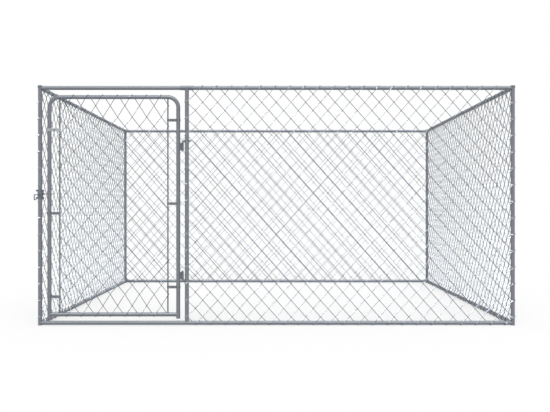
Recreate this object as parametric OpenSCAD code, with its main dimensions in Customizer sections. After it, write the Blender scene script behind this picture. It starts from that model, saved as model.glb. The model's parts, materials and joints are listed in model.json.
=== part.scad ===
// Outdoor dog kennel run: a galvanised tube frame with chain-link walls,
// open on top, and one chain-link door on pin hinges with a lever latch.
// Millimetres. X runs to the right, Y to the rear and Z up. The origin is on the
// ground in the middle of the footprint, and the door is at the left of the front.

/* [Frame] */
// Outside width of the tube frame
kennel_width = 4000; // [3000:10:5000]
// Outside depth of the tube frame
kennel_depth = 4000; // [2000:10:5000]
// Ground to the top of the top rails
kennel_height = 2008; // [1900:1:2300]
// Outside diameter of every frame tube
tube_od = 33.7; // [32:0.1:36]
// Wall of every frame tube
tube_wall = 1.5; // [1:0.1:2]
// Air under the bottom rails, where the tie rings pass
rail_ground_gap = 4.5; // [4:0.5:10]
// Length of the stubs that hold the rail ends
stub_length = 60; // [40:1:90]
// Radial gap of a stub, a sleeve or a coupling on its tube
slip_gap = 0.15; // [0.1:0.05:0.3]
// Gap at a welded or seated contact
seat_gap = 0.3; // [0.2:0.05:0.4]

/* [Post caps] */
// Wall of the cap skirt
cap_wall = 3; // [2:0.5:4]
// Depth of the skirt below the top of the post
cap_skirt = 18; // [12:1:25]
// Rise of the dome above the skirt
cap_rise = 7; // [4:0.5:10]

/* [Door] */
// Latch post to hinge post, between the tube axes
door_bay = 1232; // [1000:1:1400]
// Air between the latch post and the door
latch_side_gap = 45; // [43:1:60]
// Air between the door and the hinge post
hinge_side_gap = 39; // [37:1:50]
// Air between the top rail and the door
door_top_gap = 43; // [30:1:80]
// Air between the bottom rail and the ends of the door stiles
door_bottom_gap = 19; // [10:1:60]
// How far the stiles run on below the bottom tube
stile_foot = 17; // [5:1:30]
// Bend radius of the door hoop, on the tube axis
hoop_bend = 88; // [70:1:110]

/* [Door mesh bars] */
// Diameter of the tension bars at the sides of the door mesh
bar_d = 12; // [10:0.5:14]
// Stile axis to bar axis
bar_offset = 87; // [75:1:110]
// Height of a tension band
band_height = 22; // [16:1:30]
// Strap thickness of a tension band
band_strap = 2; // [1.5:0.1:2.5]
// Bar and stile gap inside a band
band_gap = 0.3; // [0.2:0.05:0.4]
// Height of the lowest band on the latch side
latch_band_low = 240; // [220:1:260]
// Height of the lowest band on the hinge side
hinge_band_low = 321; // [300:1:335]
// Rise from one band to the next
band_pitch = 700; // [690:1:710]
// Diameter of the band bolts
band_bolt_d = 6; // [5:1:8]

/* [Chain link] */
// Wire thickness
wire_d = 3.2; // [2.5:0.1:3.5]
// Width of one diamond
link_width = 218; // [200:1:240]
// Height of one diamond
link_height = 236; // [220:1:260]
// Gap between neighbouring pickets where they pass each other
picket_gap = 0.4; // [0.4:0.1:0.8]
// Length of the bent-over end of a picket
picket_tail = 6; // [4:0.5:10]
// Spare room between a tie ring and the bend that it holds
tie_play = 1.2; // [0.8:0.1:2]

/* [Hinges] */
// Diameter of the hinge bolts and their pins
pin_d = 10; // [8:0.5:12]
// Radial running gap of a pin in its barrel
pin_gap = 0.05; // [0.02:0.01:0.1]
// Outside diameter of the barrels
barrel_od = 20; // [18:0.5:22]
// Length of the barrels
barrel_length = 70; // [50:1:90]
// Bend radius of the hinge bolts
pin_bend = 12; // [10:0.5:14]
// Height of the upper hinge bolt, with its pin down
upper_hinge_z = 1547; // [1530:1:1560]
// Height of the lower hinge bolt, with its pin up
lower_hinge_z = 370; // [345:1:380]
// Plate between a barrel and the stile
web_plate = 6; // [4:0.5:8]
// Nut height
nut_height = 6; // [5:0.5:8]

/* [Latch] */
// Height of the strike rod
strike_z = 1101; // [1095:1:1110]
// Diameter of the strike rod
strike_d = 8; // [6:0.5:9]
// End of the strike rod, from the latch post axis
strike_reach = 24; // [23.5:0.5:27]
// Thickness of the latch clamps on the post
clamp_wall = 4; // [3:0.5:5]
// Height of the latch clamps
clamp_height = 76; // [70:1:80]
// Thickness of the latch lever
lever_plate = 5; // [4:0.5:6]
// Diameter of the lever pivot
pivot_d = 8; // [6:0.5:8]

/* [Top tee] */
// Length of the sleeve that joins the top rails over the hinge post
tee_length = 110; // [90:1:140]
// Wall of the sleeve
tee_wall = 2; // [1.5:0.1:3]

/* [Hidden] */
$fn = 48;

tube_r = tube_od / 2;
bore_r = tube_r - tube_wall;
post_x = kennel_width / 2 - tube_r;
post_y = kennel_depth / 2 - tube_r;
rail_low = rail_ground_gap + tube_r;
rail_high = kennel_height - tube_r;
stub_r = bore_r - slip_gap;
tee_bore_r = tube_r + slip_gap;
tee_r = tee_bore_r + tee_wall;
weld_gap = 0.05;

// The bottom rails of the front meet left of the hinge post's stub
threshold_setback = 2 * tube_od;

// Door, measured from the front left post
hinge_x = door_bay - post_x;
latch_stile_x = -post_x + latch_side_gap + tube_od;
hinge_stile_x = hinge_x - hinge_side_gap - tube_od;
door_width = hinge_stile_x - latch_stile_x;
pin_x = (hinge_stile_x + hinge_x) / 2;
door_top = rail_high - tube_od - door_top_gap;
stile_end = rail_low + tube_r + door_bottom_gap;
door_low = stile_end + stile_foot + tube_r;
bar_r = bar_d / 2;

// Chain link: half angle of a bend, reach of its outer corner, and the ring that ties it
bend_reach = wire_d / 2 / sin(atan(link_width / link_height));
edge_inset = seat_gap + bend_reach;
tie_shift = bend_reach + tie_play / 2;

// Hinges: the pin shows past its barrel, and the bolt past its nut
pin_r = pin_d / 2;
pin_show = 8;
pin_length = barrel_length + pin_show;
web_inset = 5;
web_height = barrel_length - 2 * web_inset;
nut_seat = 0.1;
// Corner radius of a nut over the diameter of its thread
nut_ratio = 0.92;
thread_show = 14;
bolt_end = tube_r + nut_seat + nut_height + thread_show;

// Latch: the pivot and the lever stand in front of the latch post
clamp_r = tube_r + seat_gap + clamp_wall;
clamp_low = strike_z - 40;
lug_reach = clamp_r + 13;
lug_height = 14;
// Foot of the lower and of the upper lugs
lug_feet = [clamp_low, clamp_low + clamp_height - lug_height];
lug_bolt_x = clamp_r + 6.5;
lug_split = 0.5;
pivot_z = strike_z - 6;
boss_r = 9;
boss_y = clamp_r + 4;
lever_y = boss_y + seat_gap;
hub_r = boss_r + 2;
// The lever's arm stops short of the strike rod, and its finger reaches over the rod
arm_end = strike_reach - 2;
finger_play = 1.5;
finger_width = 9;
finger_height = 14;
handle_reach = 45;
handle_bar = 8;
handle_drop = 45;
strike_end = 14;

module along_x() { rotate([0, 90, 0]) children(); }
module along_y() { rotate([-90, 0, 0]) children(); }

// Hollow tube along Z from the origin
module tube(length, outer = tube_r, wall = tube_wall) {
    linear_extrude(length) difference() {
        circle(outer);
        circle(outer - wall);
    }
}

// Tube along X between two points; an end at a post is cut square, against the post's side
module rail(from, to, post_from = false, post_to = false) {
    side = tube_r + seat_gap;
    start = post_from ? from + side : from;
    end = post_to ? to - side : to;
    translate([start, 0, 0]) along_x() tube(end - start);
}

module at_front() { translate([0, -post_y, 0]) children(); }
module at_rear() { translate([0, post_y, 0]) children(); }
module at_side(side) { translate([side * post_x, 0, 0]) rotate([0, 0, 90]) children(); }

// Frame

module corner_post(side_x, side_y) {
    color("slategray") translate([side_x * post_x, side_y * post_y, 0]) tube(kennel_height);
}

module hinge_post() {
    color("slategray") translate([hinge_x, -post_y, 0]) difference() {
        translate([0, 0, rail_low]) tube(rail_high - rail_low);
        translate([-tube_od, 0, rail_low]) along_x() cylinder(r = tube_r + seat_gap, h = 2 * tube_od);
        translate([-tube_od, 0, rail_high]) along_x() cylinder(r = tee_r + seat_gap, h = 2 * tube_od);
        for (z = [lower_hinge_z, upper_hinge_z])
            translate([-tube_od, 0, z]) along_x() cylinder(r = pin_r + slip_gap, h = 2 * tube_od);
    }
}

module post_cap() {
    skirt_r = tube_r + slip_gap + cap_wall;
    dome_r = (tube_od * tube_od / 2 + cap_rise * cap_rise) / (2 * cap_rise);
    notch_start = tube_r / 3;
    difference() {
        intersection() {
            translate([0, 0, -cap_skirt]) cylinder(r = skirt_r, h = cap_skirt + 2 * cap_rise);
            translate([0, 0, cap_rise - dome_r]) sphere(dome_r);
        }
        translate([0, 0, -2 * cap_skirt]) cylinder(r = tube_r + slip_gap, h = 2 * cap_skirt);
        translate([notch_start, 0, -tube_r]) along_x() cylinder(r = tube_r + seat_gap, h = tube_od);
        translate([0, notch_start, -tube_r]) along_y() cylinder(r = tube_r + seat_gap, h = tube_od);
    }
}

// Each corner post in turn, with its rails along +X and +Y
module at_corners() {
    for (side_x = [-1, 1], side_y = [-1, 1])
        translate([side_x * post_x, side_y * post_y, 0])
            mirror([side_x > 0 ? 1 : 0, 0, 0]) mirror([0, side_y > 0 ? 1 : 0, 0]) children();
}

module post_caps() {
    color("gray") at_corners() translate([0, 0, kennel_height]) post_cap();
}

module lintel_rail() {
    color("slategray") at_front() translate([0, 0, rail_high]) rail(-post_x, hinge_x, post_from = true);
}

module front_top_rail() {
    color("slategray") at_front() translate([0, 0, rail_high]) rail(hinge_x, post_x, post_to = true);
}

module threshold_rail() {
    color("slategray") at_front() translate([0, 0, rail_low])
        rail(-post_x, hinge_x - threshold_setback, post_from = true);
}

module front_bottom_rail() {
    color("slategray") at_front() translate([0, 0, rail_low])
        rail(hinge_x - threshold_setback, post_x, post_to = true);
}

// Long rails come in two tubes that meet over a coupling
module rail_half(reach, first) {
    if (first) rail(-reach, 0, post_from = true);
    else rail(0, reach, post_to = true);
}

module side_rail(side, height, front_half) {
    color("slategray") at_side(side) translate([0, 0, height]) rail_half(post_y, front_half);
}

module rear_rail(height, left_half) {
    color("slategray") at_rear() translate([0, 0, height]) rail_half(post_x, left_half);
}

// Short inner tube along +X, cut to the post's round and mitred to its neighbour along +Y
module stub() {
    difference() {
        along_x() tube(tube_r + stub_length, stub_r);
        translate([0, 0, -tube_od]) cylinder(r = tube_r + weld_gap, h = 2 * tube_od);
        rotate([0, 0, 45]) translate([-tube_od, -weld_gap, -tube_od])
            cube([3 * tube_od, 2 * tube_od, 2 * tube_od]);
    }
}

module rail_stubs() {
    color("darkgray") at_corners() for (z = [rail_low, rail_high]) translate([0, 0, z]) {
        stub();
        mirror([1, -1, 0]) stub();
    }
}

module hinge_post_stub() {
    color("darkgray") translate([hinge_x, -post_y, rail_low]) difference() {
        tube(tube_r + stub_length, stub_r);
        translate([-tube_od, 0, 0]) along_x() cylinder(r = tube_r + weld_gap, h = 2 * tube_od);
    }
}

module coupling() {
    translate([-stub_length, 0, 0]) along_x() tube(2 * stub_length, stub_r);
}

module rail_couplings() {
    color("darkgray") {
        for (z = [rail_low, rail_high]) {
            for (side = [-1, 1]) at_side(side) translate([0, 0, z]) coupling();
            at_rear() translate([0, 0, z]) coupling();
        }
        at_front() translate([hinge_x - threshold_setback, 0, rail_low]) coupling();
    }
}

module top_tee() {
    color("gray") translate([hinge_x, -post_y, rail_high]) difference() {
        union() {
            translate([-tee_length / 2, 0, 0]) along_x() cylinder(r = tee_r, h = tee_length);
            translate([0, 0, -tee_r - stub_length]) cylinder(r = stub_r, h = tee_r + stub_length);
        }
        translate([-tee_length, 0, 0]) along_x() cylinder(r = tee_bore_r, h = 2 * tee_length);
        translate([0, 0, -tee_r - 2 * stub_length]) cylinder(r = stub_r - tube_wall, h = 2 * stub_length);
    }
}

// Chain link

function unit(v) = v / norm(v);
function left_of(a, b) = let(d = unit(b - a)) [-d[1], d[0]];
function corner_offset(p, i, half) =
    let(last = len(p) - 1,
        before = left_of(p[max(i - 1, 0)], p[max(i, 1)]),
        after = left_of(p[min(i, last - 1)], p[min(i + 1, last)]))
    half * (before + after) / (1 + before * after);
// Outline of a wire of the given width along a line of points
function wire_outline(p, width) = concat(
    [for (i = [0 : len(p) - 1]) p[i] + corner_offset(p, i, width / 2)],
    [for (i = [len(p) - 1 : -1 : 0]) p[i] - corner_offset(p, i, width / 2)]);

// A net stands in the X-Z plane from a side tube at X = 0 to another at X = span, between two
// rails, on half-diamond columns and rows. Bends lie where column + row + phase is odd.
// It is kept as [left, low, column width, row height, columns, rows]
function net(span, side_r, low, high) =
    let(left = side_r + edge_inset,
        foot = low + tube_r + edge_inset,
        width = span - 2 * left,
        height = high - tube_r - edge_inset - foot,
        columns = 2 * round(width / link_width),
        rows = 2 * round(height / link_height))
    [left, foot, width / columns, height / rows, columns, rows];

// Column of a picket's bend in a row, and the bent-over end that a rail tie holds
function bend_column(picket, row, phase) = (picket + row + phase) % 2 == 1 ? picket : picket + 1;
function bend_point(n, picket, row, phase) =
    [n[0] + n[2] * bend_column(picket, row, phase), n[1] + n[3] * row];
function tail(n, picket, row, next_row, phase) =
    let(here = bend_column(picket, row, phase), way = here - bend_column(picket, next_row, phase))
    here == 0 || here == n[4] ? [] : [bend_point(n, picket, row, phase) + [way * picket_tail, 0]];
function picket_line(n, picket, phase) = concat(
    tail(n, picket, 0, 1, phase),
    [for (row = [0 : n[5]]) bend_point(n, picket, row, phase)],
    tail(n, picket, n[5], n[5] - 1, phase));

// Pickets lie by turns in front of and behind the middle of the net
module net_pickets(n, phase) {
    for (picket = [0 : n[4] - 1])
        translate([0, picket % 2 == 0 ? -picket_gap / 2 : picket_gap / 2 + wire_d, 0])
            rotate([90, 0, 0]) linear_extrude(wire_d)
                polygon(wire_outline(picket_line(n, picket, phase), wire_d));
}

// Ring round a tube of radius r and the bend beside it, which lies on the +X side
module tie_ring(r) {
    translate([tie_shift, 0, 0]) rotate_extrude()
        translate([r + seat_gap + tie_shift + wire_d / 2, 0]) circle(d = wire_d);
}

module net_ties(n, span, side_r, low, high, phase) {
    for (row = [1 : n[5] - 1]) {
        z = n[1] + n[3] * row;
        if ((row + phase) % 2 == 1) translate([0, 0, z]) tie_ring(side_r);
        if ((n[4] + row + phase) % 2 == 1) translate([span, 0, z]) rotate([0, 0, 180]) tie_ring(side_r);
    }
    for (column = [1 : n[4] - 1]) {
        x = n[0] + n[2] * column;
        if ((column + phase) % 2 == 1) translate([x, 0, low]) rotate([0, -90, 0]) tie_ring(tube_r);
        if ((column + n[5] + phase) % 2 == 1) translate([x, 0, high]) rotate([0, 90, 0]) tie_ring(tube_r);
    }
}

front_span = post_x - hinge_x;
rear_span = 2 * post_x;
side_span = 2 * post_y;
door_span = door_width - 2 * bar_offset;
front_net = net(front_span, tube_r, rail_low, rail_high);
rear_net = net(rear_span, tube_r, rail_low, rail_high);
side_net = net(side_span, tube_r, rail_low, rail_high);
door_net = net(door_span, bar_r, door_low, door_top);
// Side nets bend half a diamond off from the front and rear nets, so that ties share the corner posts
main_phase = 0;
side_phase = 1;

module at_front_net() { translate([hinge_x, -post_y, 0]) children(); }
module at_rear_net() { translate([-post_x, post_y, 0]) children(); }
module at_side_net(side) { translate([side * post_x, -post_y, 0]) rotate([0, 0, 90]) children(); }
module at_door_net() { translate([latch_stile_x + bar_offset, -post_y, 0]) children(); }

module front_mesh() { color("silver") at_front_net() net_pickets(front_net, main_phase); }
module rear_mesh() { color("silver") at_rear_net() net_pickets(rear_net, main_phase); }
module side_mesh(side) { color("silver") at_side_net(side) net_pickets(side_net, side_phase); }
module door_mesh() { color("silver") at_door_net() net_pickets(door_net, main_phase); }

module front_mesh_ties() {
    color("lightgray") at_front_net()
        net_ties(front_net, front_span, tube_r, rail_low, rail_high, main_phase);
}

module rear_mesh_ties() {
    color("lightgray") at_rear_net()
        net_ties(rear_net, rear_span, tube_r, rail_low, rail_high, main_phase);
}

module side_mesh_ties(side) {
    color("lightgray") at_side_net(side)
        net_ties(side_net, side_span, tube_r, rail_low, rail_high, side_phase);
}

module door_mesh_ties() {
    color("lightgray") at_door_net() net_ties(door_net, door_span, bar_r, door_low, door_top, main_phase);
}

// Hinges: each bolt crosses the hinge post and turns into a pin

module hex_nut(bore_d, height) {
    difference() {
        cylinder(r = bore_d * nut_ratio, h = height, $fn = 6);
        translate([0, 0, -1]) cylinder(r = bore_d / 2 + nut_seat, h = height + 2);
    }
}

// Hinge bolt with its leg along X at the origin and its pin up along Z at the far left
module hinge_bolt() {
    leg_end = hinge_x - pin_x;
    union() {
        translate([pin_bend, 0, 0]) along_x() cylinder(r = pin_r, h = leg_end + bolt_end - pin_bend);
        translate([pin_bend, 0, pin_bend]) rotate([-90, 0, 0]) rotate([0, 0, 90])
            rotate_extrude(angle = 90) translate([pin_bend, 0]) circle(pin_r);
        translate([0, 0, pin_bend]) cylinder(r = pin_r, h = pin_length);
    }
}

module at_upper_hinge() { translate([pin_x, -post_y, upper_hinge_z]) mirror([0, 0, 1]) children(); }
module at_lower_hinge() { translate([pin_x, -post_y, lower_hinge_z]) children(); }

module upper_hinge_bolt() { color("dimgray") at_upper_hinge() hinge_bolt(); }
module lower_hinge_bolt() { color("dimgray") at_lower_hinge() hinge_bolt(); }

module hinge_nuts() {
    color("dimgray") for (z = [lower_hinge_z, upper_hinge_z], way = [-1, 1])
        translate([hinge_x + way * (tube_r + nut_seat), -post_y, z])
            rotate([0, 90 * way, 0]) hex_nut(pin_d, nut_height);
}

// Barrel on a plate that is welded to the stile
module hinge_barrel() {
    stile_offset = hinge_stile_x - pin_x;
    translate([0, 0, pin_bend + seat_gap]) difference() {
        union() {
            cylinder(d = barrel_od, h = barrel_length);
            translate([stile_offset, -web_plate / 2, web_inset])
                cube([-stile_offset, web_plate, web_height]);
        }
        translate([0, 0, -1]) cylinder(r = pin_r + pin_gap, h = barrel_length + 2);
        translate([stile_offset, 0, -1]) cylinder(r = tube_r + nut_seat, h = barrel_length + 2);
    }
}

module upper_hinge_barrel() { color("gray") at_upper_hinge() hinge_barrel(); }
module lower_hinge_barrel() { color("gray") at_lower_hinge() hinge_barrel(); }

// Door

module door_hoop() {
    straight = door_top - hoop_bend - stile_end;
    color("slategray") translate([0, -post_y, 0]) difference() {
        union() {
            for (x = [latch_stile_x, hinge_stile_x]) translate([x, 0, stile_end]) tube(straight);
            translate([latch_stile_x + hoop_bend, 0, door_top]) along_x() tube(door_width - 2 * hoop_bend);
            translate([latch_stile_x + hoop_bend, 0, door_top - hoop_bend]) hoop_corner(90);
            translate([hinge_stile_x - hoop_bend, 0, door_top - hoop_bend]) hoop_corner(0);
        }
        translate([latch_stile_x - tube_od, 0, strike_z]) along_x()
            cylinder(d = strike_d + 2 * slip_gap, h = 2 * tube_od);
    }
}

// Quarter bend in the X-Z plane, from the given angle
module hoop_corner(turn) {
    rotate([90, 0, 0]) rotate([0, 0, turn]) rotate_extrude(angle = 90) translate([hoop_bend, 0])
        difference() {
            circle(tube_r);
            circle(bore_r);
        }
}

// Welded between the stiles, with its ends cut to their round
module door_bottom_tube() {
    color("slategray") translate([0, -post_y, door_low]) difference() {
        rail(latch_stile_x, hinge_stile_x);
        for (x = [latch_stile_x, hinge_stile_x])
            translate([x, 0, -tube_od]) cylinder(r = tube_r + seat_gap, h = 2 * tube_od);
    }
}

module tension_bar(x) {
    color("gray") translate([x, -post_y, door_low + tube_r + seat_gap])
        cylinder(r = bar_r, h = door_top - door_low - tube_od - 3 * seat_gap);
}

// Strap round a stile at the origin and a bar on its +X side
module tension_band() {
    stile_hole = tube_r + band_gap;
    bar_hole = bar_r + band_gap;
    leg_hole = bar_r - band_gap;
    difference() {
        union() {
            cylinder(r = stile_hole + band_strap, h = band_height);
            translate([bar_offset, 0, 0]) cylinder(r = bar_hole + band_strap, h = band_height);
            translate([0, -leg_hole - band_strap, 0])
                cube([bar_offset, 2 * (leg_hole + band_strap), band_height]);
        }
        translate([0, 0, -1]) cylinder(r = stile_hole, h = band_height + 2);
        translate([bar_offset, 0, -1]) cylinder(r = bar_hole, h = band_height + 2);
        translate([0, -leg_hole, -1]) cube([bar_offset, 2 * leg_hole, band_height + 2]);
        translate([bar_offset / 2, -tube_od, band_height / 2]) along_y()
            cylinder(d = band_bolt_d + 2 * slip_gap, h = 2 * tube_od);
    }
}

band_low = [latch_band_low, hinge_band_low];
band_count = 3;
// Places on each band of one stile: 0 for the latch side, 1 for the hinge side
module at_bands(side) {
    x = side == 0 ? latch_stile_x : hinge_stile_x;
    for (i = [0 : band_count - 1])
        translate([x, -post_y, band_low[side] + i * band_pitch - band_height / 2])
            mirror([side, 0, 0]) children();
}

module tension_bands(side) { color("dimgray") at_bands(side) tension_band(); }

band_half = bar_r - band_gap + band_strap;
band_head = 3;
module band_bolts() {
    color("dimgray") for (side = [0, 1]) at_bands(side)
        translate([bar_offset / 2, -band_half - nut_seat - band_head, band_height / 2]) along_y() {
            cylinder(d = 2 * band_bolt_d, h = band_head);
            cylinder(d = band_bolt_d, h = band_head + 2 * (band_half + nut_seat) + nut_height);
        }
}

module band_nuts() {
    color("dimgray") for (side = [0, 1]) at_bands(side)
        translate([bar_offset / 2, band_half + nut_seat, band_height / 2]) along_y()
            hex_nut(band_bolt_d, band_bolt_d * 0.8);
}

module strike_rod() {
    tip = -post_x + strike_reach;
    color("dimgray") translate([tip, -post_y, strike_z]) along_x()
        cylinder(d = strike_d, h = latch_stile_x + tube_r + strike_end - tip);
}

module strike_nuts() {
    color("dimgray") for (way = [-1, 1])
        translate([latch_stile_x + way * (tube_r + nut_seat), -post_y, strike_z])
            rotate([0, 90 * way, 0]) hex_nut(strike_d, nut_height);
}

// Latch on the front left post

module at_latch() { translate([-post_x, -post_y, 0]) children(); }

// The middle of each clamp lug, where a bolt passes
module at_lugs() {
    for (side = [-1, 1], foot = lug_feet) translate([side * lug_bolt_x, 0, foot + lug_height / 2]) children();
}

// Half shell round the post with two bolt lugs at each side; it lies on the +Y side
module clamp_half() {
    difference() {
        union() {
            intersection() {
                translate([0, 0, clamp_low]) cylinder(r = clamp_r, h = clamp_height);
                translate([-clamp_r, lug_split, clamp_low]) cube([2 * clamp_r, clamp_r, clamp_height]);
            }
            for (foot = lug_feet)
                translate([-lug_reach, lug_split, foot]) cube([2 * lug_reach, clamp_wall, lug_height]);
        }
        translate([0, 0, clamp_low - 1]) cylinder(r = tube_r + seat_gap, h = clamp_height + 2);
        at_lugs() translate([0, -1, 0]) along_y()
            cylinder(d = band_bolt_d + 2 * slip_gap, h = 2 * clamp_wall);
    }
}

module latch_front_clamp() {
    color("dimgray") at_latch() difference() {
        union() {
            mirror([0, 1, 0]) clamp_half();
            intersection() {
                translate([0, -boss_y, pivot_z]) along_y() cylinder(r = boss_r, h = boss_y);
                difference() {
                    translate([-boss_r, -boss_y, clamp_low]) cube([2 * boss_r, boss_y, clamp_height]);
                    translate([0, 0, clamp_low - 1]) cylinder(r = tube_r + seat_gap, h = clamp_height + 2);
                }
            }
        }
        translate([0, -boss_y - 1, pivot_z]) along_y()
            cylinder(d = pivot_d + 2 * pin_gap, h = clamp_wall + 1);
    }
}

// The rear clamp's ear stops the strike rod from swinging in
module latch_rear_clamp() {
    ear_y = strike_d / 2 + seat_gap;
    color("dimgray") at_latch() {
        difference() {
            union() {
                clamp_half();
                translate([0, ear_y, strike_z - boss_r]) cube([lug_reach, clamp_wall, 2 * boss_r]);
            }
            translate([0, 0, clamp_low - 1]) cylinder(r = tube_r + seat_gap, h = clamp_height + 2);
        }
    }
}

lug_half = lug_split + clamp_wall;
module latch_bolts() {
    color("dimgray") at_latch() at_lugs()
        translate([0, -lug_half - nut_seat - band_head, 0]) along_y() {
            cylinder(d = 2 * band_bolt_d, h = band_head);
            cylinder(d = band_bolt_d, h = band_head + 2 * (lug_half + nut_seat) + nut_height);
        }
}

module latch_nuts() {
    color("dimgray") at_latch() at_lugs()
        translate([0, lug_half + nut_seat, 0]) along_y() hex_nut(band_bolt_d, band_bolt_d * 0.8);
}

pivot_head = 3;
module latch_pivot() {
    pin_end = boss_y - clamp_wall + seat_gap;
    shank = lever_y + lever_plate + seat_gap - pin_end;
    color("gray") at_latch() translate([0, -pin_end, pivot_z]) rotate([90, 0, 0]) {
        cylinder(d = pivot_d, h = shank);
        translate([0, 0, shank]) cylinder(d = 2 * pivot_d, h = pivot_head);
    }
}

// Lever with its finger lifted clear of the strike rod, and a drop handle at the left
module lever_outline() {
    finger_z = strike_z + strike_d / 2 + finger_play - pivot_z;
    difference() {
        union() {
            circle(hub_r);
            translate([0, -handle_bar / 2]) square([arm_end, handle_bar]);
            translate([arm_end - handle_bar, -handle_bar / 2])
                square([handle_bar, finger_z + finger_height + handle_bar / 2]);
            translate([arm_end - handle_bar, finger_z])
                square([strike_reach + finger_width - arm_end + handle_bar, finger_height]);
            translate([-handle_reach, -handle_bar / 2]) square([handle_reach, handle_bar]);
            translate([-handle_reach, -handle_drop]) square([handle_bar, handle_drop]);
            translate([-handle_reach, -handle_drop])
                square([handle_reach - clamp_r - finger_play, handle_bar]);
        }
        circle(d = pivot_d + 2 * pin_gap);
    }
}

module latch_lever() {
    finger_z = strike_z + strike_d / 2 + finger_play;
    finger_back = strike_d / 2 + finger_play;
    color("dimgray") at_latch() union() {
        translate([0, -lever_y, pivot_z]) rotate([90, 0, 0]) linear_extrude(lever_plate) lever_outline();
        translate([strike_reach, -lever_y, finger_z])
            cube([finger_width, lever_y - finger_back, finger_height]);
    }
}

corner_post(-1, -1);  // front_left_post
corner_post(1, -1);  // front_right_post
corner_post(-1, 1);  // rear_left_post
corner_post(1, 1);  // rear_right_post
hinge_post();
post_caps();
lintel_rail();
front_top_rail();
threshold_rail();
front_bottom_rail();
side_rail(-1, rail_high, true);  // left_top_rail_front
side_rail(-1, rail_high, false);  // left_top_rail_rear
side_rail(-1, rail_low, true);  // left_bottom_rail_front
side_rail(-1, rail_low, false);  // left_bottom_rail_rear
side_rail(1, rail_high, true);  // right_top_rail_front
side_rail(1, rail_high, false);  // right_top_rail_rear
side_rail(1, rail_low, true);  // right_bottom_rail_front
side_rail(1, rail_low, false);  // right_bottom_rail_rear
rear_rail(rail_high, true);  // rear_top_rail_left
rear_rail(rail_high, false);  // rear_top_rail_right
rear_rail(rail_low, true);  // rear_bottom_rail_left
rear_rail(rail_low, false);  // rear_bottom_rail_right
rail_stubs();
hinge_post_stub();
rail_couplings();
top_tee();
front_mesh();
side_mesh(-1);  // left_mesh
side_mesh(1);  // right_mesh
rear_mesh();
front_mesh_ties();
side_mesh_ties(-1);  // left_mesh_ties
side_mesh_ties(1);  // right_mesh_ties
rear_mesh_ties();
upper_hinge_bolt();
lower_hinge_bolt();
hinge_nuts();
latch_front_clamp();
latch_rear_clamp();
latch_bolts();
latch_nuts();
latch_pivot();
latch_lever();
door_hoop();
door_bottom_tube();
upper_hinge_barrel();
lower_hinge_barrel();
tension_bar(latch_stile_x + bar_offset);  // latch_side_tension_bar
tension_bar(hinge_stile_x - bar_offset);  // hinge_side_tension_bar
tension_bands(0);  // latch_side_bands
tension_bands(1);  // hinge_side_bands
band_bolts();
band_nuts();
door_mesh();
door_mesh_ties();
strike_rod();
strike_nuts();
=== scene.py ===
"""Looks of the outdoor dog kennel run: galvanised tube, woven chain-link nets and zinc fittings."""
import json
import math

import bpy
import numpy as np
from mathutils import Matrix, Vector


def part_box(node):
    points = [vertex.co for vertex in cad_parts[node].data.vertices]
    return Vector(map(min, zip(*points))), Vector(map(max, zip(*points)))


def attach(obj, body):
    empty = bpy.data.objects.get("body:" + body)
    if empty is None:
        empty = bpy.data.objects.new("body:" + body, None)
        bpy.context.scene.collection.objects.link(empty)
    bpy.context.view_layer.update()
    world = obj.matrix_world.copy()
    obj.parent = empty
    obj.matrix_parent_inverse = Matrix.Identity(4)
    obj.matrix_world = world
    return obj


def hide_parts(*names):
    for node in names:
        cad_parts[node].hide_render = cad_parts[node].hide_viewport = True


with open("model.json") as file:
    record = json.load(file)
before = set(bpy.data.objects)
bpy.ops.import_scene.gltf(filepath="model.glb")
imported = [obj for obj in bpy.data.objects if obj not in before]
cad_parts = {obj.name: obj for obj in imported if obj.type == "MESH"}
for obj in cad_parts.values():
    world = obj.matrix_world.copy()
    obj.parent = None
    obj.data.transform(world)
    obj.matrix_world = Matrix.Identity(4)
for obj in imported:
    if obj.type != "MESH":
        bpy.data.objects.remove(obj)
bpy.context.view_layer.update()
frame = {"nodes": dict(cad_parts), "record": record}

# The photograph's frame, in pixels, and where its camera stood, in metres
PHOTO_WIDTH, PHOTO_HEIGHT = 550, 412
HORIZON_Y = 207.3
VANISHING_X = 275.6
FOCAL_PX = 833.0
CAMERA_DISTANCE = 6.99
CAMERA_HEIGHT = 0.99
CAMERA_X = -0.007
CAMERA_SIGHT = 500.0
SENSOR = 36.0

# Light: an even white sky, a broad sun above and in front, and a soft box at the upper left whose shine
# lies along the strands of the nets that rise to the right. The origin points to where a light comes from.
SKY_LIGHT = 0.59
WHITE_LIGHT = (1.0, 1.0, 1.0)
WARM_LIGHT = (1.0, 0.97, 0.92)
SUNS = (
    {"name": "top_sun", "origin": (0.05, -0.55, 0.83), "strength": 1.7, "spread": 40,
     "colour": WHITE_LIGHT, "nets_only": False},
    {"name": "left_box", "origin": (-0.70, -0.12, 0.70), "strength": 14.0, "spread": 30,
     "colour": WARM_LIGHT, "nets_only": True},
)
# The floor is white to the eye and in the metal, half of it by its own glow so that the shadow on it stays
# faint, and greyer where it only throws light back
FLOOR_SIZE = 400.0
FLOOR_WHITE = 0.97
FLOOR_GLOW = 0.5
FLOOR_BOUNCE = 0.25
FLOOR_ROUGHNESS = 0.9

# Zinc: crystals from a dark to a light tone, clouds that dull them, and grit that mottles and roughens
# them. Scales are per metre, and a range says where on its pattern the dark and the light tone lie.
CRYSTAL_RANGE = (0.1, 0.9)
CRYSTAL_SMOOTHER, CRYSTAL_ROUGHER = 0.08, 0.10
CLOUD_SCALE, CLOUD_DETAIL = 7.0, 4.0
CLOUD_SHARE = 0.70
CLOUD_TONE = 0.45
GRIT_SCALE, GRIT_DETAIL = 420.0, 2.0
GRIT_RANGE = (0.3, 0.7)
GRIT_SHARE = 0.22
GRIT_STRENGTH, GRIT_HEIGHT = 0.12, 0.0006
NOISE_ROUGHNESS = 0.55

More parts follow.
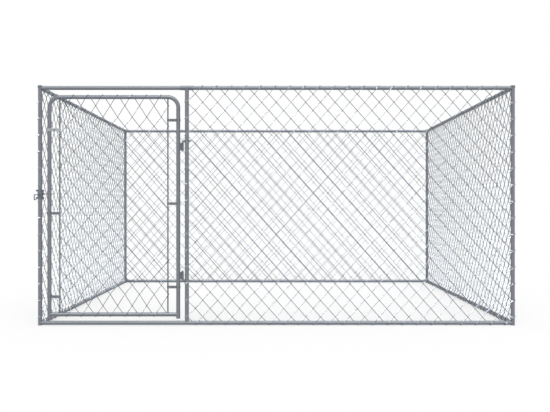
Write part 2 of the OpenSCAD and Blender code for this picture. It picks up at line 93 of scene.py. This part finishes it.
# Chain link: wire, and the half-diamond columns and rows of each net
WIRE_RADIUS = 0.00265
WIRE_SIDES = 8
WIRE_GAP = 0.0001
FRONT_COLUMNS = 44
WALL_COLUMNS = 64
WALL_ROWS = 29
DOOR_COLUMNS = 15
DOOR_ROWS = 25
# The door's net is drawn taller next to its top and bottom tubes: heights of those rows, outermost first
DOOR_END_ROWS = (0.092, 0.096, 0.077)
# The strands of a net meet this far outside the axis of its side tubes
POST_EDGE = -0.009
BAR_EDGE = 0.0066
# A strand leaves a bend over these shares of its length
BEND_SHARES = (0.035, 0.10)
# A loop round a tube has this many steps from its top to its end, and round a post it slants by this share
# of a row
WRAP_STEPS = 8
LOOP_SLANT = 0.10
# A strand that ends in a corner keeps clear of the sleeve on the rail
CORNER_ROOM = 0.0025
# A direction that no strand has, to start the rings of a wire from
RING_START = (0.3, 0.5, 0.8)


# Materials

class Nodes:
    """Short helper around one material's node tree."""

    def __init__(self, name):
        self.material = bpy.data.materials.new(name)
        self.material.use_nodes = True
        self.tree = self.material.node_tree
        self.shader = self.tree.nodes["Principled BSDF"]
        self.place = self.add("ShaderNodeTexCoord").outputs["Object"]

    def add(self, kind, **settings):
        node = self.tree.nodes.new(kind)
        for name, value in settings.items():
            setattr(node, name, value)
        return node

    def link(self, out, socket):
        self.tree.links.new(out, socket)

    def noise(self, scale, detail):
        node = self.add("ShaderNodeTexNoise")
        node.inputs["Scale"].default_value = scale
        node.inputs["Detail"].default_value = detail
        node.inputs["Roughness"].default_value = NOISE_ROUGHNESS
        self.link(self.place, node.inputs["Vector"])
        return node.outputs["Fac"]

    def cells(self, scale):
        """One shade of grey for each crystal."""
        node = self.add("ShaderNodeTexVoronoi", feature="F1")
        node.inputs["Scale"].default_value = scale
        self.link(self.place, node.inputs["Vector"])
        grey = self.add("ShaderNodeRGBToBW")
        self.link(node.outputs["Color"], grey.inputs[0])
        return grey.outputs[0]

    def ramp(self, value, places, tones):
        """From the first tone to the second, as the value goes from the first place to the second."""
        node = self.add("ShaderNodeValToRGB")
        for element, place, tone in zip(node.color_ramp.elements, places, tones):
            element.position = place
            element.color = (*tone, 1.0)
        self.link(value, node.inputs["Fac"])
        return node.outputs["Color"]

    def span(self, value, low, high):
        """A value of 0 to 1, spread from low to high."""
        node = self.add("ShaderNodeMapRange")
        node.inputs["To Min"].default_value = low
        node.inputs["To Max"].default_value = high
        self.link(value, node.inputs["Value"])
        return node.outputs["Result"]

    def mix(self, share, first, second, how="MIX"):
        node = self.add("ShaderNodeMix", data_type="RGBA", blend_type=how)
        if isinstance(share, float):
            node.inputs["Factor"].default_value = share
        else:
            self.link(share, node.inputs["Factor"])
        for value, socket in ((first, node.inputs["A"]), (second, node.inputs["B"])):
            if isinstance(value, tuple):
                socket.default_value = (*value, 1.0)
            else:
                self.link(value, socket)
        return node.outputs["Result"]

    def attribute(self, name):
        """A number that the mesh holds at each of its points."""
        return self.add("ShaderNodeAttribute", attribute_name=name).outputs["Fac"]

    def higher_than(self, level):
        """1 above a height in metres, else 0."""
        parts = self.add("ShaderNodeSeparateXYZ")
        self.link(self.place, parts.inputs[0])
        node = self.add("ShaderNodeMath", operation="GREATER_THAN")
        self.link(parts.outputs["Z"], node.inputs[0])
        node.inputs[1].default_value = level
        return node.outputs[0]

    def bump(self, height, strength, distance):
        node = self.add("ShaderNodeBump")
        node.inputs["Strength"].default_value = strength
        node.inputs["Distance"].default_value = distance
        self.link(height, node.inputs["Height"])
        self.link(node.outputs["Normal"], self.shader.inputs["Normal"])


def zinc(name, dark, light, metallic, rough, spangle, highlight_share=None, highlight_tones=None):
    """Galvanised steel: crystals of the zinc, with dull clouds and finer grit, and a painted highlight in
    paler tones where a share says.
    """
    nodes = Nodes(name)
    crystals = nodes.cells(spangle)
    clouds = nodes.noise(CLOUD_SCALE, CLOUD_DETAIL)
    grit = nodes.noise(GRIT_SCALE, GRIT_DETAIL)
    tones = (dark, light)
    colour = nodes.ramp(crystals, CRYSTAL_RANGE, tones)
    dull = tuple((1 - CLOUD_TONE) * low + CLOUD_TONE * high for low, high in zip(*tones))
    colour = nodes.mix(nodes.span(clouds, 0.0, CLOUD_SHARE), colour, dull)
    colour = nodes.mix(GRIT_SHARE, colour, nodes.ramp(grit, GRIT_RANGE, tones), "OVERLAY")
    # Painted highlight: paler tones mixed in by the given share
    if highlight_share:
        colour = nodes.mix(highlight_share(nodes), colour, nodes.ramp(crystals, CRYSTAL_RANGE, highlight_tones))
    roughness = nodes.span(crystals, rough - CRYSTAL_SMOOTHER, rough + CRYSTAL_ROUGHER)
    nodes.link(colour, nodes.shader.inputs["Base Color"])
    nodes.link(roughness, nodes.shader.inputs["Roughness"])
    nodes.shader.inputs["Metallic"].default_value = metallic
    nodes.bump(grit, GRIT_STRENGTH, GRIT_HEIGHT)
    return nodes.material


# The top band at the latch side takes paler tones above a height as a painted highlight, and so do the
# loops round the posts, which the nets' meshes mark
PAINTED_BAND_HIGHLIGHT = (0.40, 0.41, 0.42), (0.52, 0.53, 0.54)
BAND_HIGHLIGHT_HEIGHT = 1.45
LOOP_HIGHLIGHT_TONES = (0.27, 0.285, 0.305), (0.37, 0.385, 0.405)
POST_LOOP = "post_loop"
# Each zinc: dark and light tone, share of metal, roughness and crystals per metre
TUBE = zinc("galvanised_tube", (0.210, 0.223, 0.249), (0.288, 0.304, 0.332), 0.80, 0.40, 85.0)
# The wire's loops round the posts take paler tones where the mesh marks them: a painted highlight
WIRE = zinc("galvanised_wire", (0.108, 0.128, 0.156), (0.18, 0.203, 0.236), 0.90, 0.26, 160.0,
            highlight_share=lambda nodes: nodes.attribute(POST_LOOP), highlight_tones=LOOP_HIGHLIGHT_TONES)
FITTING = zinc("galvanised_fitting", (0.17, 0.184, 0.21), (0.25, 0.267, 0.295), 0.80, 0.42, 110.0)
LATCH = zinc("latch_zinc", (0.158, 0.182, 0.225), (0.255, 0.286, 0.345), 0.75, 0.45, 140.0)
BAND_ZINC = (0.177, 0.19, 0.215), (0.285, 0.30, 0.33), 0.75, 0.45, 140.0
BAND = zinc("dark_zinc", *BAND_ZINC)
# Painted highlight: above a height, where the latch side's top band is, these bands take paler tones
HIGHLIT_BAND = zinc("highlit_band_zinc", *BAND_ZINC,
                 highlight_share=lambda nodes: nodes.higher_than(BAND_HIGHLIGHT_HEIGHT), highlight_tones=PAINTED_BAND_HIGHLIGHT)
BOLT = zinc("bolt_steel", (0.12, 0.127, 0.14), (0.20, 0.21, 0.225), 0.85, 0.38, 200.0)
STRIKE = zinc("bright_zinc", (0.36, 0.37, 0.39), (0.50, 0.51, 0.53), 0.80, 0.40, 200.0)
SLOT_MATERIALS = {
    "galvanised_tube": TUBE,
    "galvanised_wire": WIRE,
    "galvanised_fitting": FITTING,
    "dark_zinc": LATCH,
    "bolt_steel": BOLT,
}
NODE_MATERIALS = {
    "hinge_side_bands": BAND,
    "latch_side_bands": HIGHLIT_BAND,
    "strike_rod": STRIKE,
    "strike_nuts": STRIKE,
}


def dress_nodes():
    """Give every CAD node the material of its record slot, or its own."""
    slots = {part["node"]: part["material_slot"] for part in frame["record"]["subparts"]}
    for name, node in frame["nodes"].items():
        node.data.materials.clear()
        node.data.materials.append(NODE_MATERIALS.get(name, SLOT_MATERIALS[slots[name]]))


# Chain link

class Net:
    """A net seen from outside: u runs right from where its strands meet at the left, v inward and w up."""

    def __init__(self, name, left, right, bottom, top, columns, rows, edge, end_rows=()):
        self.name = name
        self.columns, self.rows, self.edge = columns, rows, edge
        self.on_posts = left.endswith("_post")
        left_box, right_box, low_box, high_box = (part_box(node) for node in (left, right, bottom, top))
        start, end = (sum(box, Vector()) / 2 for box in (left_box, right_box))
        along = Vector((end.x - start.x, end.y - start.y, 0))
        # A strand runs this far in front of the net's middle or behind it
        self.lift = WIRE_RADIUS + WIRE_GAP
        # Loops lie on their tubes, but under the bottom rail they are flatter where the ground is near
        rail_radius = (low_box[1].z - low_box[0].z) / 2
        self.side_loop = (left_box[1].x - left_box[0].x) / 2 + self.lift
        self.rail_loop = rail_radius + self.lift
        self.below_rail = rail_radius + min(self.lift, low_box[0].z - WIRE_RADIUS)
        self.right = along.normalized()
        self.inward = Vector((-self.right.y, self.right.x, 0))
        self.origin = Vector((start.x, start.y, 0)) - self.right * edge
        self.low = low_box[0].z + rail_radius - self.below_rail
        self.high = high_box[1].z - rail_radius + self.rail_loop
        self.column = (along.length + 2 * edge) / columns
        plain_rows = rows - 2 * len(end_rows)
        plain = (self.high - self.low - 2 * sum(end_rows)) / plain_rows
        self.row_heights = [*end_rows, *[plain] * plain_rows, *reversed(end_rows)]

    def world(self, points):
        axes = np.array([self.right, self.inward, (0, 0, 1)])
        return np.array(self.origin) + np.asarray(points) @ axes

    def bend_column(self, picket, row):
        return picket if (picket + row) % 2 else picket + 1

    def kind(self, column, row):
        """What a bend holds on to: a neighbour, a side tube, a rail, or a corner of both."""
        at_side = column in (0, self.columns)
        at_rail = row in (0, self.rows)
        if at_side and at_rail:
            return "corner"
        return "side" if at_side else "rail" if at_rail else "neighbour"

    def wrap(self, loop, reach):
        """Angles from the top of a loop to where a strand leaves it, for a strand that goes on to a point
        at the reach from the loop's middle."""
        leave = math.pi - math.atan2(self.lift, reach) - math.acos(loop / math.hypot(reach, self.lift))
        return [leave * (step + 1) / WRAP_STEPS for step in range(WRAP_STEPS)]

    def half_bend(self, kind, height, past_rail):
        """(share of a column, share of a row, depth) along a strand as it leaves a bend into a row of a
        height. A loop round a rail reaches past_rail beyond the rail's axis."""
        if kind == "neighbour":
            return [(share, share, self.lift) for share in BEND_SHARES]
        straight = 1 - BEND_SHARES[-1]
        bend = []
        if kind == "side":
            angles = self.wrap(self.side_loop, straight * self.column - self.edge)
            for angle in angles:
                across = (self.edge - self.side_loop * math.cos(angle)) / self.column
                bend.append((across, LOOP_SLANT * angle / angles[-1], self.side_loop * math.sin(angle)))
            return bend
        loop = self.rail_loop + (CORNER_ROOM if kind == "corner" else 0)
        for angle in self.wrap(loop, straight * height - past_rail):
            out = loop * math.cos(angle)
            if out > 0:
                out *= past_rail / self.rail_loop
            share = (past_rail - out) / height
            bend.append((share, share, loop * math.sin(angle)))
        return bend[-1:] if kind == "corner" else bend

    def tip(self, kind, column, w, picket):
        """The top of a bend at height w, where the wire passes from the front of the net to its back."""
        turn = 1 if column > picket else -1
        u = column * self.column
        if kind == "side":
            u += turn * (self.side_loop - self.edge)
        elif kind == "neighbour":
            u += turn * self.lift
        return (u, 0.0, w)

    def picket(self, picket):
        """Centreline of one wire, which zigzags up between two columns, and whether each of its points
        lies on a post. Strands that rise to the right lie in front and the others behind, and bends
        hook into a neighbour or wrap a tube."""
        points, on_post = [], []

        def add(point, kind):
            points.append(point)
            on_post.append(self.on_posts and kind == "side")

        column, w = self.bend_column(picket, 0), self.low
        kind = self.kind(column, 0)
        if kind != "corner":
            add(self.tip(kind, column, w, picket), kind)
        for row, height in enumerate(self.row_heights, start=1):
            next_column = self.bend_column(picket, row)
            turn = next_column - column
            for across, up, lift in self.half_bend(kind, height, self.below_rail):
                add(((column + turn * across) * self.column, -turn * lift, w + up * height), kind)
            column, w = next_column, w + height
            kind = self.kind(column, row)
            for across, up, lift in reversed(self.half_bend(kind, height, self.rail_loop)):
                add(((column - turn * across) * self.column, -turn * lift, w - up * height), kind)
            if kind != "corner":
                add(self.tip(kind, column, w, picket), kind)
        return self.world(points), on_post


def sweep(line):
    """Ring points, quads and end caps of a round wire along a line of points."""
    tangents = np.gradient(line, axis=0)
    tangents /= np.linalg.norm(tangents, axis=1)[:, None]
    turns = np.arange(WIRE_SIDES) * 2 * math.pi / WIRE_SIDES
    normal = np.cross(tangents[0], RING_START)
    rings = []
    for point, tangent in zip(line, tangents):
        normal = normal - tangent * (normal @ tangent)
        normal /= np.linalg.norm(normal)
        other = np.cross(tangent, normal)
        ring = np.outer(np.cos(turns), normal) + np.outer(np.sin(turns), other)
        rings.append(point + WIRE_RADIUS * ring)
    here = np.arange(WIRE_SIDES)
    after = (here + 1) % WIRE_SIDES
    first = np.arange(len(line) - 1)[:, None] * WIRE_SIDES
    second = first + WIRE_SIDES
    quads = np.stack([first + here, first + after, second + after, second + here], axis=-1)
    last = (len(line) - 1) * WIRE_SIDES
    caps = [list(here[::-1]), list(last + here)]
    return np.concatenate(rings), quads.reshape(-1, 4), caps


def wire_object(name, lines):
    """One mesh of many round wires, each a line of points and whether they lie on a post."""
    vertices, loops, faces, count = [], [], [], 0
    for line, on_post in lines:
        rings, quads, caps = sweep(line)
        vertices.append(rings)
        loops.append(np.repeat(on_post, WIRE_SIDES))
        faces += (quads + count).tolist() + [[corner + count for corner in cap] for cap in caps]
        count += len(rings)
    mesh = bpy.data.meshes.new(name)
    mesh.from_pydata(np.concatenate(vertices).tolist(), [], faces)
    mesh.polygons.foreach_set("use_smooth", [True] * len(mesh.polygons))
    # Marks the points of the loops round posts, which the wire's material paints paler as a highlight
    marks = mesh.attributes.new(POST_LOOP, "FLOAT", "POINT")
    marks.data.foreach_set("value", np.concatenate(loops).astype(float))
    mesh.update()
    piece = bpy.data.objects.new(name, mesh)
    bpy.context.scene.collection.objects.link(piece)
    mesh.materials.append(WIRE)
    return piece


def weave_nets():
    """Every net with all its diamonds, laced round its tubes. Returns the nets as a collection."""
    woven = bpy.data.collections.new("nets")
    wall = (WALL_COLUMNS, WALL_ROWS, POST_EDGE)
    nets = (
        Net("front", "hinge_post", "front_right_post", "front_bottom_rail", "front_top_rail",
            FRONT_COLUMNS, WALL_ROWS, POST_EDGE),
        Net("right", "front_right_post", "rear_right_post",
            "right_bottom_rail_front", "right_top_rail_front", *wall),
        Net("rear", "rear_right_post", "rear_left_post",
            "rear_bottom_rail_left", "rear_top_rail_left", *wall),
        Net("left", "rear_left_post", "front_left_post",
            "left_bottom_rail_front", "left_top_rail_front", *wall),
        Net("door", "latch_side_tension_bar", "hinge_side_tension_bar", "door_bottom_tube", "door_hoop",
            DOOR_COLUMNS, DOOR_ROWS, BAR_EDGE, DOOR_END_ROWS),
    )
    for net in nets:
        piece = wire_object(f"{net.name}_net", [net.picket(number) for number in range(net.columns)])
        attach(piece, "door" if net.name == "door" else "frame")
        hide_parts(f"{net.name}_mesh", f"{net.name}_mesh_ties")
        woven.objects.link(piece)
    return woven


# Stage

def seen_or_mirrored(tree):
    """1 on rays that the camera, a mirror or glass sends, else 0."""
    ray = tree.nodes.new("ShaderNodeLightPath")
    total = ray.outputs["Is Camera Ray"]
    for name in ("Is Glossy Ray", "Is Transmission Ray"):
        add = tree.nodes.new("ShaderNodeMath")
        add.operation = "ADD"
        add.use_clamp = True
        tree.links.new(total, add.inputs[0])
        tree.links.new(ray.outputs[name], add.inputs[1])
        total = add.outputs[0]
    return total


def backdrop():
    """White floor that takes the shadow, under a white sky that the camera and the metal see."""
    bpy.ops.mesh.primitive_plane_add(size=FLOOR_SIZE)
    floor = bpy.context.object
    floor.name = "floor"
    nodes = Nodes("white_floor")
    seen = seen_or_mirrored(nodes.tree)
    grey, white = ((shade, shade, shade) for shade in (FLOOR_BOUNCE, FLOOR_WHITE))
    nodes.link(nodes.mix(seen, grey, white), nodes.shader.inputs["Base Color"])
    nodes.shader.inputs["Roughness"].default_value = FLOOR_ROUGHNESS
    nodes.shader.inputs["Specular IOR Level"].default_value = 0.0
    blend = nodes.add("ShaderNodeMixShader")
    nodes.link(nodes.span(seen, 0.0, FLOOR_GLOW), blend.inputs["Fac"])
    nodes.link(nodes.shader.outputs["BSDF"], blend.inputs[1])
    nodes.link(nodes.add("ShaderNodeEmission").outputs["Emission"], blend.inputs[2])
    nodes.link(blend.outputs["Shader"], nodes.tree.nodes["Material Output"].inputs["Surface"])
    floor.data.materials.append(nodes.material)

    world = bpy.data.worlds.new("white_studio")
    bpy.context.scene.world = world
    world.use_nodes = True
    tree = world.node_tree
    strength = tree.nodes.new("ShaderNodeMapRange")
    strength.inputs["To Min"].default_value = SKY_LIGHT
    strength.inputs["To Max"].default_value = 1.0
    tree.links.new(seen_or_mirrored(tree), strength.inputs["Value"])
    sky = tree.nodes["Background"]
    sky.inputs["Color"].default_value = (*WHITE_LIGHT, 1.0)
    tree.links.new(strength.outputs["Result"], sky.inputs["Strength"])


def lamps(nets):
    """A sun on everything, and a soft box that only makes the nets shine."""
    for sun in SUNS:
        data = bpy.data.lights.new(sun["name"], "SUN")
        data.energy = sun["strength"]
        data.color = sun["colour"]
        data.angle = math.radians(sun["spread"])
        lamp = bpy.data.objects.new(sun["name"], data)
        lamp.rotation_euler = Vector(sun["origin"]).to_track_quat("Z", "Y").to_euler()
        if sun["nets_only"]:
            lamp.visible_diffuse = False
            lamp.light_linking.receiver_collection = nets
        bpy.context.scene.collection.objects.link(lamp)


def camera():
    """Level camera in front of the run, at the photograph's distance, height and focal length."""
    data = bpy.data.cameras.new("camera")
    data.sensor_width = SENSOR
    data.lens = FOCAL_PX * SENSOR / PHOTO_WIDTH
    data.shift_x = -(VANISHING_X - PHOTO_WIDTH / 2) / PHOTO_WIDTH
    data.shift_y = (HORIZON_Y - PHOTO_HEIGHT / 2) / PHOTO_WIDTH
    data.clip_end = CAMERA_SIGHT
    eye = bpy.data.objects.new("camera", data)
    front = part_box("front_left_post")
    eye.location = (CAMERA_X, (front[0].y + front[1].y) / 2 - CAMERA_DISTANCE, CAMERA_HEIGHT)
    eye.rotation_euler = (math.pi / 2, 0.0, 0.0)
    bpy.context.scene.collection.objects.link(eye)
    bpy.context.scene.camera = eye


camera()
dress_nodes()
nets = weave_nets()
backdrop()
lamps(nets)
bpy.context.scene.view_settings.view_transform = "Standard"
